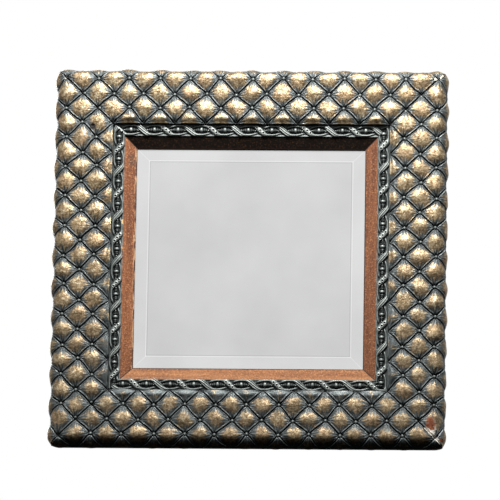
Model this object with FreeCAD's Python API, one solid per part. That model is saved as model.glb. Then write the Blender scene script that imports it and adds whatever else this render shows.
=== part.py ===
import FreeCAD
import Part
import math
import os

# A square tufted-relief wall mirror, 60 cm across, modelled in millimetres.
# The origin is the centre of the back plane, +Z is up and the front faces -Y.
# A rail is described by three numbers: its distance along the rail, its distance
# out from the middle of the mirror (reach) and its height above the back (rise).

# Driving dimensions
TUFT_PITCH = 46.3
TUFT_HALF = TUFT_PITCH / 2
CROWN_RISE = 5.8
FACE_RISE = 33.0
STRIP_WIDTH = 18.35
PLATE_THICK = 5.0

# The tuft lattice, in half pitches out from the middle
FIRST_ROW = 9
ROLL_ROW = 12
CREST_ROW = 13
HEM_ROW = 14
STRIPS_PER_FOLD = 3

# The quilted facing: a flat field, a rolled outer corner and a straight side
FIELD_REACH = FIRST_ROW * TUFT_HALF
ROLL_REACH = ROLL_ROW * TUFT_HALF
ROLL_RADIUS = 13.0
SIDE_REACH = ROLL_REACH + ROLL_RADIUS
ROLL_LENGTH = ROLL_RADIUS * math.pi / 2
CREST_RISE = FACE_RISE - ROLL_RADIUS - (TUFT_HALF - ROLL_LENGTH)
HEM_RISE = 3.0
FACING_THICK = 3.6
SIDE_THICK = 4.0
LIP_THICK = 3.15

# The wooden core under it
CORE_TOP = FACE_RISE - FACING_THICK
CORE_SIDE = SIDE_REACH - SIDE_THICK
CORE_CHAMFER_OUT = 0.8
STRIP_DROP = 10.1
STRIP_SEAT_RISE = FACE_RISE - STRIP_DROP
LINER_REACH = FIELD_REACH - STRIP_WIDTH
LINER_SEAT_WIDTH = 11.0
REBATE_REACH = LINER_REACH - LINER_SEAT_WIDTH

# The plain sight liner
LINER_STEP = 4.4
LINER_SEAT_RISE = STRIP_SEAT_RISE - LINER_STEP
LINER_OUTER_THICK = 7.9
LINER_LIP_THICK = 2.1

# The ribbon and bead strip
STRIP_THICK = 3.6
STRIP_BASE_RISE = STRIP_SEAT_RISE + STRIP_THICK
CHANNEL_WIDTH = 2.7
RIBBON_WIDTH = 13.8
RIBBON_REACH = FIELD_REACH - CHANNEL_WIDTH - RIBBON_WIDTH / 2
RIBBON_THICK = 2.2
RIBBON_WAIST = 6.3
CROSSING_RISE = 1.2
CROSSING_WIDTH = 6.4
CROSSING_LEAN = 4.8
EYE_COUNT = 11
EYE_PITCHES_TO_CORNERS = 11.26
EYE_PITCH = 2 * RIBBON_REACH / EYE_PITCHES_TO_CORNERS
EYE_HALF_LENGTH = 12.4
EYE_HALF_WIDTH = 5.2
EYE_SHOULDER = 5.4
BEAD_SIDES = 6
BEAD_RADIUS = 3.9
BEAD_END_RADIUS = 1.5
BEAD_HALF_LENGTH = 9.0
BEAD_SHOULDER = 4.2

# The bevelled glass and what holds it
REBATE_GAP = 1.2
PLATE_HALF = REBATE_REACH - REBATE_GAP
LIP_COVER = 6.3
SIGHT_REACH = PLATE_HALF - LIP_COVER
BEVEL_WIDTH = 25.4
BEVEL_DROP = 2.5
BOARD_THICK = 3.2
BOARD_GAP = 0.8
BOARD_HALF = PLATE_HALF - BOARD_GAP
POINT_FROM_CORNER = 67.0
POINT_LENGTH = 15.0
POINT_WIDTH = 8.0
POINT_THICK = 0.7
POINT_BITE = 7.0
POINT_SPACING = BOARD_HALF - POINT_FROM_CORNER

# The corner nails, pressed in from the back across each mitre
NAIL_WING = 8.0
NAIL_THICK = 0.8
NAIL_DEPTH = 10.0
NAIL_INSET = 28.0
NAIL_REACHES = (REBATE_REACH + NAIL_INSET, CORE_SIDE - NAIL_INSET)

# The hangers on the two side rails
HANGER_REACH = (REBATE_REACH + CORE_SIDE) / 2
HANGER_HEIGHT = 150.0
STRAP_WIDTH = 14.0
STRAP_THICK = 1.2
WIRE_RADIUS = 1.3
WIRE_CLEARANCE = 0.05
KNUCKLE_BORE = WIRE_RADIUS + WIRE_CLEARANCE
KNUCKLE_RADIUS = KNUCKLE_BORE + STRAP_THICK
RING_HALF_WIDTH = 12.0
RING_CORNER = 3.5
RING_HEIGHT = 20.0
RING_CORNER_STEPS = 1
RING_ROUND_STEPS = 6
SCREW_DROP = 11.5
SCREW_SHANK_RADIUS = 1.75
SCREW_SHANK_LENGTH = 12.0
SCREW_HEAD_RADIUS = 3.6
SCREW_HEAD_RISE = 1.9
SCREW_HEAD_CROWN_RADIUS = 2.4

# Working room for the cutting bodies
ENVELOPE = 2 * SIDE_REACH
SEW_TOLERANCE = 1e-5
FLAT_TOLERANCE = 1e-6

SIDES = {"top": 0.0, "right": 90.0, "bottom": 180.0, "left": 270.0}
CORNERS = {"top_right": 0.0, "bottom_right": 90.0, "bottom_left": 180.0, "top_left": 270.0}
ORIGIN = FreeCAD.Vector(0, 0, 0)
ALONG = FreeCAD.Vector(1, 0, 0)
BACKWARD = FreeCAD.Vector(0, 1, 0)
UPWARD = FreeCAD.Vector(0, 0, 1)


def point(along, reach, rise):
    """A point on the top rail."""
    return FreeCAD.Vector(along, -rise, reach)


def turned(shape, angle):
    """A copy of a shape made for the top rail, turned to another side."""
    copy = shape.copy()
    copy.rotate(ORIGIN, BACKWARD, angle)
    return copy


def polygon_face(points):
    return Part.Face(Part.makePolygon(points + points[:1]))


def faceted_solid(faces):
    """A closed solid from flat faces that share their edges."""
    shell = Part.makeShell(faces)
    shell.sewShape(SEW_TOLERANCE)
    solid = Part.Solid(shell)
    if solid.Volume < 0:
        solid.reverse()
    return solid


def stacked_rings(rings):
    """A solid between equal, parallel rings of points, closed at both ends."""
    faces = [polygon_face(rings[0]), polygon_face(rings[-1])]
    for ring, following in zip(rings, rings[1:]):
        for index in range(len(ring)):
            before = index - 1
            faces.append(polygon_face([ring[before], ring[index], following[index],
                                       following[before]]))
    return faceted_solid(faces)


def wedge():
    """The quarter of the mirror that the top rail fills, between its two mitres."""
    corners = [
        FreeCAD.Vector(0, -ENVELOPE, 0),
        FreeCAD.Vector(ENVELOPE, -ENVELOPE, ENVELOPE),
        FreeCAD.Vector(-ENVELOPE, -ENVELOPE, ENVELOPE),
    ]
    return polygon_face(corners).extrude(BACKWARD * ENVELOPE * 2)


def mitred(section):
    """A rail of the given (reach, rise) section, cut at both mitres."""
    outline = [point(-ENVELOPE, reach, rise) for reach, rise in section]
    return polygon_face(outline).extrude(ALONG * ENVELOPE * 2).common(wedge())


# The quilted facing

def groove_base(row):
    """Reach, rise and outward direction of the groove surface at a lattice row."""
    if row <= ROLL_ROW:
        return row * TUFT_HALF, FACE_RISE, (0.0, 1.0)
    rise = CREST_RISE if row == CREST_ROW else HEM_RISE
    return SIDE_REACH, rise, (1.0, 0.0)


def crown_rise(row):
    """The pillows stand up everywhere but at the hem, which is straight."""
    return 0.0 if row == HEM_ROW else CROWN_RISE


def is_crown(column, row):
    return (column + row) % 2 == 1


def lattice_along(column, row, reach):
    """Distance along the rail of a lattice column, drawn in to the mitre at the row's end."""
    if abs(column) >= min(row, CREST_ROW):
        return math.copysign(reach, column)
    return column * TUFT_HALF


def lattice_point(column, row):
    """A tuft button in the groove surface, or the crown of a pillow above it."""
    reach, rise, out = groove_base(row)
    if is_crown(column, row):
        reach += crown_rise(row) * out[0]
        rise += crown_rise(row) * out[1]
    return point(lattice_along(column, row, reach), reach, rise)


def fold_control(column_a, row_a, column_b, row_b):
    """The control point of the fold that runs from a crown to a button beside it."""
    start = lattice_point(column_a, row_a)
    end = lattice_point(column_b, row_b)
    low_row = min(row_a, row_b)
    if row_a == row_b:
        reach, rise, out = groove_base(row_a)
        lift = crown_rise(row_a)
        return point((start.x + end.x) / 2, reach + lift * out[0], rise + lift * out[1])
    if low_row < ROLL_ROW:
        return point(start.x, (start.z + end.z) / 2, FACE_RISE + CROWN_RISE)
    if low_row == ROLL_ROW:
        lift = CROWN_RISE / math.sqrt(2)
        return point(start.x, SIDE_REACH + lift, FACE_RISE + lift)
    reach = SIDE_REACH + CROWN_RISE
    along = lattice_along(column_a, HEM_ROW, reach)
    return point(along, reach, (CREST_RISE + HEM_RISE) / 2)


def fold_points(column_a, row_a, column_b, row_b):
    """Points down the parabolic fold from a crown to a neighbouring button."""
    start = lattice_point(column_a, row_a)
    end = lattice_point(column_b, row_b)
    control = fold_control(column_a, row_a, column_b, row_b)
    points = []
    for step in range(STRIPS_PER_FOLD + 1):
        t = step / STRIPS_PER_FOLD
        points.append(start * (1 - t) ** 2 + control * (2 * t * (1 - t)) + end * t**2)
    return points


def is_flat(points):
    normal = (points[1] - points[0]).cross(points[2] - points[0]).normalize()
    return abs((points[3] - points[0]).dot(normal)) < FLAT_TOLERANCE


def pillow_quarter(crown, button_a, button_b):
    """Strips between two folds of one pillow, from its crown to the groove."""
    fold_a = fold_points(*crown, *button_a)
    fold_b = fold_points(*crown, *button_b)
    faces = [polygon_face([fold_a[0], fold_a[1], fold_b[1]])]
    for step in range(1, STRIPS_PER_FOLD):
        strip = [fold_a[step], fold_a[step + 1], fold_b[step + 1], fold_b[step]]
        if is_flat(strip):
            faces.append(polygon_face(strip))
        else:
            faces.append(polygon_face([strip[0], strip[1], strip[2]]))
            faces.append(polygon_face([strip[0], strip[2], strip[3]]))
    return faces


def quilted_skin():
    """Every pillow quarter of one rail, cell by cell across the lattice."""
    faces = []
    for row in range(FIRST_ROW, HEM_ROW):
        last = min(row + 1, CREST_ROW)
        for column in range(-last, last):
            cell = [(column, row), (column + 1, row), (column, row + 1), (column + 1, row + 1)]
            buttons = [node for node in cell if not is_crown(*node)]
            for crown in [node for node in cell if is_crown(*node)]:
                past_mitre = abs(crown[0]) > crown[1]
                if not past_mitre:
                    faces += pillow_quarter(crown, *buttons)
    return faces


def row_edge(row, last):
    """The scalloped edge of the skin along one lattice row, from left to right."""
    points = []
    for column in range(-last, last):
        if is_crown(column, row):
            step = fold_points(column, row, column + 1, row)
        else:
            step = fold_points(column + 1, row, column, row)[::-1]
        points += step if not points else step[1:]
    return points


def quilted_facing():
    """The cast relief of one rail, from its lip at the ribbon strip to its hem."""
    seat = [
        (FIELD_REACH, STRIP_SEAT_RISE),
        (FIELD_REACH + LIP_THICK, STRIP_SEAT_RISE),
        (FIELD_REACH + LIP_THICK, CORE_TOP),
        (ROLL_REACH - CORE_CHAMFER_OUT, CORE_TOP),
        (CORE_SIDE, core_shoulder_rise()),
        (CORE_SIDE, HEM_RISE),
    ]
    faces = quilted_skin()
    for (reach_a, rise_a), (reach_b, rise_b) in zip(seat, seat[1:]):
        faces.append(polygon_face([
            point(-reach_a, reach_a, rise_a),
            point(reach_a, reach_a, rise_a),
            point(reach_b, reach_b, rise_b),
            point(-reach_b, reach_b, rise_b),
        ]))
    lip = [point(side * FIELD_REACH, FIELD_REACH, STRIP_SEAT_RISE) for side in (1, -1)]
    faces.append(polygon_face(row_edge(FIRST_ROW, FIRST_ROW) + lip))
    hem = [point(side * CORE_SIDE, CORE_SIDE, HEM_RISE) for side in (1, -1)]
    faces.append(polygon_face(row_edge(HEM_ROW, CREST_ROW) + hem))
    for side in (-1, 1):
        end_fold = fold_points(side * CREST_ROW, HEM_ROW, side * CREST_ROW, CREST_ROW)
        outline = [lattice_point(side * row, row) for row in range(FIRST_ROW, CREST_ROW + 1)]
        outline += end_fold[::-1][1:]
        outline += [point(side * reach, reach, rise) for reach, rise in reversed(seat)]
        faces.append(polygon_face(outline))
    return faceted_solid(faces)


# The wooden core

def core_shoulder_rise():
    """Where the core's outer chamfer, parallel to the groove above it, meets its side."""
    slope = (FACE_RISE - CREST_RISE) / ROLL_RADIUS
    return CORE_TOP - slope * (CORE_SIDE - ROLL_REACH + CORE_CHAMFER_OUT)


def rail_core():
    return mitred([
        (REBATE_REACH, 0.0),
        (CORE_SIDE, 0.0),
        (CORE_SIDE, core_shoulder_rise()),
        (ROLL_REACH - CORE_CHAMFER_OUT, CORE_TOP),
        (FIELD_REACH + LIP_THICK, CORE_TOP),
        (FIELD_REACH + LIP_THICK, STRIP_SEAT_RISE),
        (LINER_REACH, STRIP_SEAT_RISE),
        (LINER_REACH, LINER_SEAT_RISE),
        (REBATE_REACH, LINER_SEAT_RISE),
    ])


# The ribbon and bead strip

def plan_prism(outline, low, high):
    """A prism on a plan outline of (along, reach) points, between two rises."""
    face = polygon_face([point(along, reach, low) for along, reach in outline])
    return face.extrude(BACKWARD * (low - high))


def eye_outline(centre):
    """The pointed opening between two crossings of the ribbon."""
    return [
        (centre - EYE_HALF_LENGTH, RIBBON_REACH + EYE_HALF_WIDTH / 2),
        (centre - EYE_SHOULDER, RIBBON_REACH + EYE_HALF_WIDTH),
        (centre + EYE_SHOULDER, RIBBON_REACH + EYE_HALF_WIDTH),
        (centre + EYE_HALF_LENGTH, RIBBON_REACH - EYE_HALF_WIDTH / 2),
        (centre + EYE_SHOULDER, RIBBON_REACH - EYE_HALF_WIDTH),
        (centre - EYE_SHOULDER, RIBBON_REACH - EYE_HALF_WIDTH),
    ]


def ribbon_outline(eyes):
    """The ribbon's plan: widest at each eye and drawn in at each crossing."""
    half = RIBBON_WIDTH / 2
    outer = []
    for centre in [eyes[0] - EYE_PITCH] + eyes + [eyes[-1] + EYE_PITCH]:
        outer += [(centre - EYE_SHOULDER, half), (centre + EYE_SHOULDER, half)]
        outer.append((centre + EYE_PITCH / 2, RIBBON_WAIST))
    outline = [(along, RIBBON_REACH + out) for along, out in outer]
    outline += [(along, RIBBON_REACH - out) for along, out in reversed(outer)]
    return outline


def crossing_outline(centre):
    """The slanted front of the ribbon where it crosses over between two eyes."""
    half = CROSSING_WIDTH / 2
    return [
        (centre - CROSSING_LEAN - half, RIBBON_REACH + RIBBON_WAIST),
        (centre - CROSSING_LEAN + half, RIBBON_REACH + RIBBON_WAIST),
        (centre + CROSSING_LEAN + half, RIBBON_REACH - RIBBON_WAIST),
        (centre + CROSSING_LEAN - half, RIBBON_REACH - RIBBON_WAIST),
    ]


def turned_bead(centre, stations):
    """A faceted bead on the strip's line, from (offset along, radius) stations."""
    rings = []
    for offset, radius in stations:
        ring = []
        for side in range(BEAD_SIDES):
            turn = 2 * math.pi * side / BEAD_SIDES
            reach = RIBBON_REACH + radius * math.cos(turn)
            ring.append(point(centre + offset, reach, STRIP_BASE_RISE + radius * math.sin(turn)))
        rings.append(ring)
    return stacked_rings(rings)


def oval_bead(centre):
    return turned_bead(centre, [
        (-BEAD_HALF_LENGTH, BEAD_END_RADIUS),
        (-BEAD_SHOULDER, BEAD_RADIUS),
        (BEAD_SHOULDER, BEAD_RADIUS),
        (BEAD_HALF_LENGTH, BEAD_END_RADIUS),
    ])


def ribbon_moulding():
    """The cast strip of one rail: a flat base, the twisted ribbon and its beads."""
    section = [
        (LINER_REACH, STRIP_SEAT_RISE),
        (FIELD_REACH, STRIP_SEAT_RISE),
        (FIELD_REACH, STRIP_BASE_RISE),
        (LINER_REACH, STRIP_BASE_RISE),
    ]
    eyes = [(index - (EYE_COUNT - 1) / 2) * EYE_PITCH for index in range(EYE_COUNT)]
    ribbon_top = STRIP_BASE_RISE + RIBBON_THICK
    ribbon = plan_prism(ribbon_outline(eyes), STRIP_SEAT_RISE, ribbon_top)
    ribbon = ribbon.cut([
        plan_prism(eye_outline(eye), STRIP_BASE_RISE, ribbon_top + RIBBON_THICK) for eye in eyes
    ])
    crossings = [eyes[0] - EYE_PITCH / 2] + [eye + EYE_PITCH / 2 for eye in eyes]
    raised = [
        plan_prism(crossing_outline(centre), STRIP_SEAT_RISE, ribbon_top + CROSSING_RISE)
        for centre in crossings
    ]
    raised += [oval_bead(eye) for eye in eyes]
    relief = ribbon.fuse(raised).common(wedge())
    return mitred(section).fuse(relief).removeSplitter()


# The sight liner

def sight_liner():
    return mitred([
        (SIGHT_REACH, LINER_SEAT_RISE),
        (LINER_REACH, LINER_SEAT_RISE),
        (LINER_REACH, LINER_SEAT_RISE + LINER_OUTER_THICK),
        (SIGHT_REACH, LINER_SEAT_RISE + LINER_LIP_THICK),
    ])


# The glass and what is behind it

def bevel_depth_at(reach):
    """How far the bevelled front has dropped below its flat middle."""
    return BEVEL_DROP * max(0.0, reach - (PLATE_HALF - BEVEL_WIDTH)) / BEVEL_WIDTH


def plate_back_rise():
    """The bevel touches the liner's lip along the sight edge."""
    return LINER_SEAT_RISE + bevel_depth_at(SIGHT_REACH) - PLATE_THICK


def square_ring(half, rise):
    corners = [(-half, -half), (half, -half), (half, half), (-half, half)]
    return [FreeCAD.Vector(x, -rise, z) for x, z in corners]


def mirror_plate():
    """Silvered plate glass with a wide bevel on all four sides."""
    back = plate_back_rise()
    return stacked_rings([
        square_ring(PLATE_HALF, back),
        square_ring(PLATE_HALF, back + PLATE_THICK - BEVEL_DROP),
        square_ring(PLATE_HALF - BEVEL_WIDTH, back + PLATE_THICK),
    ])


def backing_board():
    back = plate_back_rise()
    return stacked_rings([
        square_ring(BOARD_HALF, back - BOARD_THICK),
        square_ring(BOARD_HALF, back),
    ])


def glazing_points():
    """Three flat points a side, driven into the rebate to hold the board."""
    high = plate_back_rise() - BOARD_THICK
    low = high - POINT_THICK
    outer = REBATE_REACH + POINT_BITE
    points = []
    for index in (-1, 0, 1):
        centre = index * POINT_SPACING
        half = POINT_WIDTH / 2
        outline = [
            (centre - half, outer - POINT_LENGTH),
            (centre + half, outer - POINT_LENGTH),
            (centre + half, outer),
            (centre - half, outer),
        ]
        points.append(plan_prism(outline, low, high))
    return points


# The corner nails

def corner_nails():
    """Two pressed nails across the top right mitre, each a right-angled strip of steel."""
    nails = []
    half = NAIL_THICK / 2
    for reach in NAIL_REACHES:
        low = reach - half
        outline = [
            (low, low),
            (reach + NAIL_WING, low),
            (reach + NAIL_WING, reach + half),
            (reach + half, reach + half),
            (reach + half, reach + NAIL_WING),
            (low, reach + NAIL_WING),
        ]
        nails.append(plan_prism(outline, 0.0, NAIL_DEPTH))
    return nails


# The hangers

def hanger_places():
    return {
        "left": FreeCAD.Vector(-HANGER_REACH, 0, HANGER_HEIGHT),
        "right": FreeCAD.Vector(HANGER_REACH, 0, HANGER_HEIGHT),
    }


def screw_shank(place):
    """The straight part of the screw, and the hole it makes in the rail."""
    base = place + BACKWARD * (STRAP_THICK - SCREW_SHANK_LENGTH) - UPWARD * SCREW_DROP
    return Part.makeCylinder(SCREW_SHANK_RADIUS, SCREW_SHANK_LENGTH, base, BACKWARD)


def hanger_strap(place):
    """A steel strap, round at the screw, with its other end rolled into a knuckle."""
    half = STRAP_WIDTH / 2
    corner = place - ALONG * half - UPWARD * SCREW_DROP
    plate = Part.makeBox(STRAP_WIDTH, STRAP_THICK, SCREW_DROP, corner)
    tail = Part.makeCylinder(half, STRAP_THICK, place - UPWARD * SCREW_DROP, BACKWARD)
    end = place - ALONG * half + BACKWARD * KNUCKLE_RADIUS
    knuckle = Part.makeCylinder(KNUCKLE_RADIUS, STRAP_WIDTH, end, ALONG)
    bore = Part.makeCylinder(KNUCKLE_BORE, STRAP_WIDTH, end, ALONG)
    return plate.fuse([tail, knuckle]).cut([bore, screw_shank(place)]).removeSplitter()


def arc_points(centre, radius, first, last, steps):
    """Points round an arc in the ring's plane, angles in degrees from +X towards +Z."""
    points = []
    for step in range(steps + 1):
        turn = math.radians(first + (last - first) * step / steps)
        points.append(centre + ALONG * radius * math.cos(turn) + UPWARD * radius * math.sin(turn))
    return points


def hanger_ring(place):
    """A bent wire loop: a bar through the knuckle, two small bends and a half round."""
    centre = place + BACKWARD * KNUCKLE_RADIUS
    bar_half = RING_HALF_WIDTH - RING_CORNER
    shoulder = centre + UPWARD * (RING_HEIGHT - RING_HALF_WIDTH)
    corner_right = centre + ALONG * bar_half + UPWARD * RING_CORNER
    corner_left = centre - ALONG * bar_half + UPWARD * RING_CORNER
    points = [centre]
    points += arc_points(corner_right, RING_CORNER, -90.0, 0.0, RING_CORNER_STEPS)
    points += arc_points(shoulder, RING_HALF_WIDTH, 0.0, 180.0, RING_ROUND_STEPS)
    points += arc_points(corner_left, RING_CORNER, 180.0, 270.0, RING_CORNER_STEPS)
    path = Part.makePolygon(points + points[:1])
    section = Part.Wire(Part.Circle(centre, ALONG, WIRE_RADIUS).toShape())
    right_corner = 1
    return path.makePipeShell([section], True, False, right_corner)


def hanger_screw(place):
    """A pan head wood screw through the strap into the rail."""
    seat = place + BACKWARD * STRAP_THICK - UPWARD * SCREW_DROP
    head = Part.makeCone(SCREW_HEAD_RADIUS, SCREW_HEAD_CROWN_RADIUS, SCREW_HEAD_RISE,
                         seat, BACKWARD)
    return screw_shank(place).fuse(head)


# Assembly

def export(name, shape):
    shape.exportStep(os.path.join("parts", name + ".step"))
    print(name, "valid", shape.isValid(), "volume", round(shape.Volume))


def export_rails(places):
    points = glazing_points()
    nails = corner_nails()
    mitre_nails = nails + [turned(nail, SIDES["left"]) for nail in nails]
    core = rail_core().cut(points + mitre_nails)
    facing = quilted_facing()
    strip = ribbon_moulding()
    liner = sight_liner()
    for side, angle in SIDES.items():
        side_core = turned(core, angle)
        if side in places:
            side_core = side_core.cut(screw_shank(places[side]))
        export("rail_core_" + side, side_core)
        export("quilted_facing_" + side, turned(facing, angle))
        export("ribbon_moulding_" + side, turned(strip, angle))
        export("sight_liner_" + side, turned(liner, angle))
    all_points = [turned(item, angle) for angle in SIDES.values() for item in points]
    export("glazing_points", Part.makeCompound(all_points))
    for corner, angle in CORNERS.items():
        group = [turned(nail, angle) for nail in nails]
        export("corner_nails_" + corner, Part.makeCompound(group))


def export_hangers(places):
    straps = [hanger_strap(place) for place in places.values()]
    screws = [hanger_screw(place) for place in places.values()]
    export("hanger_straps", Part.makeCompound(straps))
    export("hanger_screws", Part.makeCompound(screws))
    for side, place in places.items():
        export("hanger_ring_" + side, hanger_ring(place))


os.makedirs("parts", exist_ok=True)
hanger_positions = hanger_places()
export_rails(hanger_positions)
export("mirror_plate", mirror_plate())
export("backing_board", backing_board())
export_hangers(hanger_positions)
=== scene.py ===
import math

import bpy
import numpy as np
from mathutils import Matrix, Vector


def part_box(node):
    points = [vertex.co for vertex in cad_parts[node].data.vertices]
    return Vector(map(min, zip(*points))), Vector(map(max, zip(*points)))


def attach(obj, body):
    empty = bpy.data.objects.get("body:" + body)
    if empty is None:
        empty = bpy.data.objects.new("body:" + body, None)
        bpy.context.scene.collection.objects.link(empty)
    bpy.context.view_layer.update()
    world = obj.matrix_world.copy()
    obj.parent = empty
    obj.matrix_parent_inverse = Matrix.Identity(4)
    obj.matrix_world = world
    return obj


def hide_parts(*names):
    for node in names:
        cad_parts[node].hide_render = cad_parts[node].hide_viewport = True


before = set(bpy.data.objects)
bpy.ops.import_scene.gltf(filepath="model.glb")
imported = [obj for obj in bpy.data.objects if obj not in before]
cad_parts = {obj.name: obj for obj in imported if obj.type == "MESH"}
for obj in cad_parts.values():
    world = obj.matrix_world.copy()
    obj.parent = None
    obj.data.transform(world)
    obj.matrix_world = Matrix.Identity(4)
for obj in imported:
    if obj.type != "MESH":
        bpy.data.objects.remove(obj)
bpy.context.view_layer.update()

sides = {"top": 0, "right": 90, "bottom": 180, "left": 270}  # degrees round the mirror
print("frame loaded:", len(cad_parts), "nodes")


# Small helpers for the hand work

def pick(*things):
    if bpy.context.mode != "OBJECT":
        bpy.ops.object.mode_set(mode="OBJECT")
    bpy.ops.object.select_all(action="DESELECT")
    for thing in things:
        thing.select_set(True)
    bpy.context.view_layer.objects.active = things[0]


def readAll(items, field, width=1, kind=float):
    values = np.empty(len(items) * width, dtype=kind)
    items.foreach_get(field, values)
    return values.reshape(-1, width) if width > 1 else values


def readPlaces(thing):
    return readAll(thing.data.vertices, "co", 3)


def writePlaces(thing, places):
    thing.data.vertices.foreach_set("co", np.ascontiguousarray(places).ravel())
    thing.data.update()


def selectWhere(thing, wanted, kind="vertices"):
    for part in ("vertices", "edges", "polygons"):
        items = getattr(thing.data, part)
        items.foreach_set("select", np.zeros(len(items), dtype=bool))
    getattr(thing.data, kind).foreach_set("select", np.asarray(wanted, dtype=bool))


def editAll(thing, work, **options):
    pick(thing)
    bpy.ops.object.mode_set(mode="EDIT")
    bpy.ops.mesh.select_all(action="SELECT")
    work(**options)
    bpy.ops.object.mode_set(mode="OBJECT")


def bisectAway(thing, place, outward, fill=False):
    editAll(thing, bpy.ops.mesh.bisect, plane_co=place, plane_no=outward, clear_outer=True,
            use_fill=fill, threshold=0.000001)


def mergeDoubles(thing):
    editAll(thing, bpy.ops.mesh.remove_doubles, threshold=0.00002)


def facesOutward(thing):
    editAll(thing, bpy.ops.mesh.normals_make_consistent, inside=False)


def editEdges(thing, work, wanted):
    pick(thing)
    bpy.ops.object.mode_set(mode="EDIT")
    bpy.ops.mesh.select_mode(type="EDGE")
    bpy.ops.object.mode_set(mode="OBJECT")
    selectWhere(thing, wanted, "edges")
    bpy.ops.object.mode_set(mode="EDIT")
    work()
    bpy.ops.object.mode_set(mode="OBJECT")


def edgeUses(thing):
    corners = readAll(thing.data.loops, "edge_index", kind=np.int32)
    return np.bincount(corners, minlength=len(thing.data.edges))


def giveLayer(thing, name, values):
    layer = thing.data.attributes.new(name, "FLOAT", "POINT")
    layer.data.foreach_set("value", np.asarray(values, dtype=np.float32))


def repeatAlong(thing, count, step):
    pick(thing)
    array = thing.modifiers.new("repeat", "ARRAY")
    array.count = count
    array.use_relative_offset = False
    array.use_constant_offset = True
    array.constant_offset_displace = step
    bpy.ops.object.modifier_apply(modifier=array.name)


def smooth(value, low, high):
    share = np.clip((value - low) / (high - low), 0, 1)
    return share * share * (3 - 2 * share)


def copyOf(thing, name):
    twin = thing.copy()
    twin.data = thing.data.copy()
    twin.name = twin.data.name = name
    bpy.context.collection.objects.link(twin)
    return twin


def turnToSide(thing, angle):
    thing.data.transform(Matrix.Rotation(math.radians(angle), 4, "Y"))
    thing.data.update()


def finishPiece(thing, name, material, smoothAngle, body="frame"):
    thing.name = thing.data.name = name
    pick(thing)
    bpy.ops.object.shade_smooth_by_angle(angle=math.radians(smoothAngle))
    thing.data.materials.clear()
    thing.data.materials.append(material)
    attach(thing, body)


# Small helpers for the finishes

def colour(code):
    shades = [int(code[i:i + 2], 16) / 255 for i in (1, 3, 5)]
    linear = [s / 12.92 if s <= 0.04045 else ((s + 0.055) / 1.055) ** 2.4 for s in shades]
    return (*linear, 1.0)


def add(tree, kind, inputs, ramp=None, **settings):
    # a node given as an input stands for its first output
    made = tree.nodes.new("ShaderNode" + kind)
    for name, value in settings.items():
        setattr(made, name, value)
    for place, value in inputs.items():
        if isinstance(value, bpy.types.Node):
            value = value.outputs[0]
        if isinstance(value, bpy.types.NodeSocket):
            tree.links.new(value, made.inputs[place])
        else:
            made.inputs[place].default_value = value
    if ramp:
        stops = made.color_ramp.elements
        while len(stops) < len(ramp):
            stops.new(0.5)
        for stop, (where, shade) in zip(stops, ramp):
            stop.position = where
            stop.color = colour(shade)
    return made


def startMaterial(name):
    material = bpy.data.materials.new(name)
    material.use_nodes = True
    material.node_tree.nodes.clear()
    return material, material.node_tree


def endMaterial(tree, shown, roughness, metallic=0.0, normal=None, **sockets):
    inputs = {"Base Color": shown, "Roughness": roughness, "Metallic": metallic}
    if normal:
        inputs["Normal"] = normal
    inputs.update({name.replace("_", " "): value for name, value in sockets.items()})
    shader = add(tree, "BsdfPrincipled", inputs)
    add(tree, "OutputMaterial", {"Surface": shader})


def risen(tree, most, *climbs):
    # most where every value has climbed from its low to its high, down to nothing elsewhere
    for value, low, high in climbs:
        most = add(tree, "MapRange", {"Value": value, "From Min": low, "From Max": high,
                                      "To Max": most}, interpolation_type="SMOOTHSTEP")
    return most


def wash(tree, under, over, most, *climbs):
    # lays a colour over another as far as the climbs let it
    over = colour(over) if isinstance(over, str) else over
    share = risen(tree, most, *climbs)
    return add(tree, "Mix", {0: share, 6: under, 7: over}, data_type="RGBA").outputs[2]


def weighted(tree, start, *parts):
    # the start plus each part times its weight
    total = start
    for part, weight in parts:
        total = add(tree, "Math", {0: part, 1: weight, 2: total}, operation="MULTIPLY_ADD")
    return total


def nearSpot(tree, place, spot, radius, ragged, tear, most=1.0):
    # most inside the spot's ragged edge, nothing outside it
    gap = add(tree, "VectorMath", {0: place, 1: spot}, operation="DISTANCE").outputs["Value"]
    gap = weighted(tree, -0.5 * radius * tear, (ragged, radius * tear), (gap, 1.0))
    return risen(tree, most, (gap, radius, 0.75 * radius))


# Finishes

quiltFinish = {
    "seamDark": "#171B1D",
    "seamRub": "#979E9D",
    "slateDeep": "#212628",
    "slate": "#373E3F",
    "slateHigh": "#4B5150",
    "slateStreak": "#757B7A",
    "slateGrain": "#20272A",
    # ridge: painted highlight between the creases; crease: painted shade in them
    "ridge": "#8E9594",
    "crease": "#181C1D",
    "bronzeDeep": "#4F4132",
    "bronze": "#866F50",
    "cream": "#C0B498",
    "copper": "#A8704A",
    "grainDark": "#5C4A33",
    "grainBright": "#E3D3AE",
    "pit": "#3A2C1C",
    "bronzeShadedLow": "#4F4334",         # painted shade: darker bronze on the lower rails
    "chip": "#F2ECDF",
    "clay": "#8F4E2B",
    "clayDeep": "#4E2412",
    # hole: painted shade, a dark spot where the relief has a hole
    "hole": "#17100B",
    "edgeOfBronze": (0.15, 0.66),   # 0 at the seam, 1 on the crown
    "streak": 1.05,                 # how far the streaks push the bronze's edge
    "shadedLowRail": (0.12, -0.26),       # heights in metres between which the painted shade of the lower rails comes in
    "innerRow": (0.2235, 0.2105),   # the half row beside the ribbon is dull, the more so in the painted shade low down
    "bigChip": 0.005,               # above this radius a chip has a torn edge
}

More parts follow.
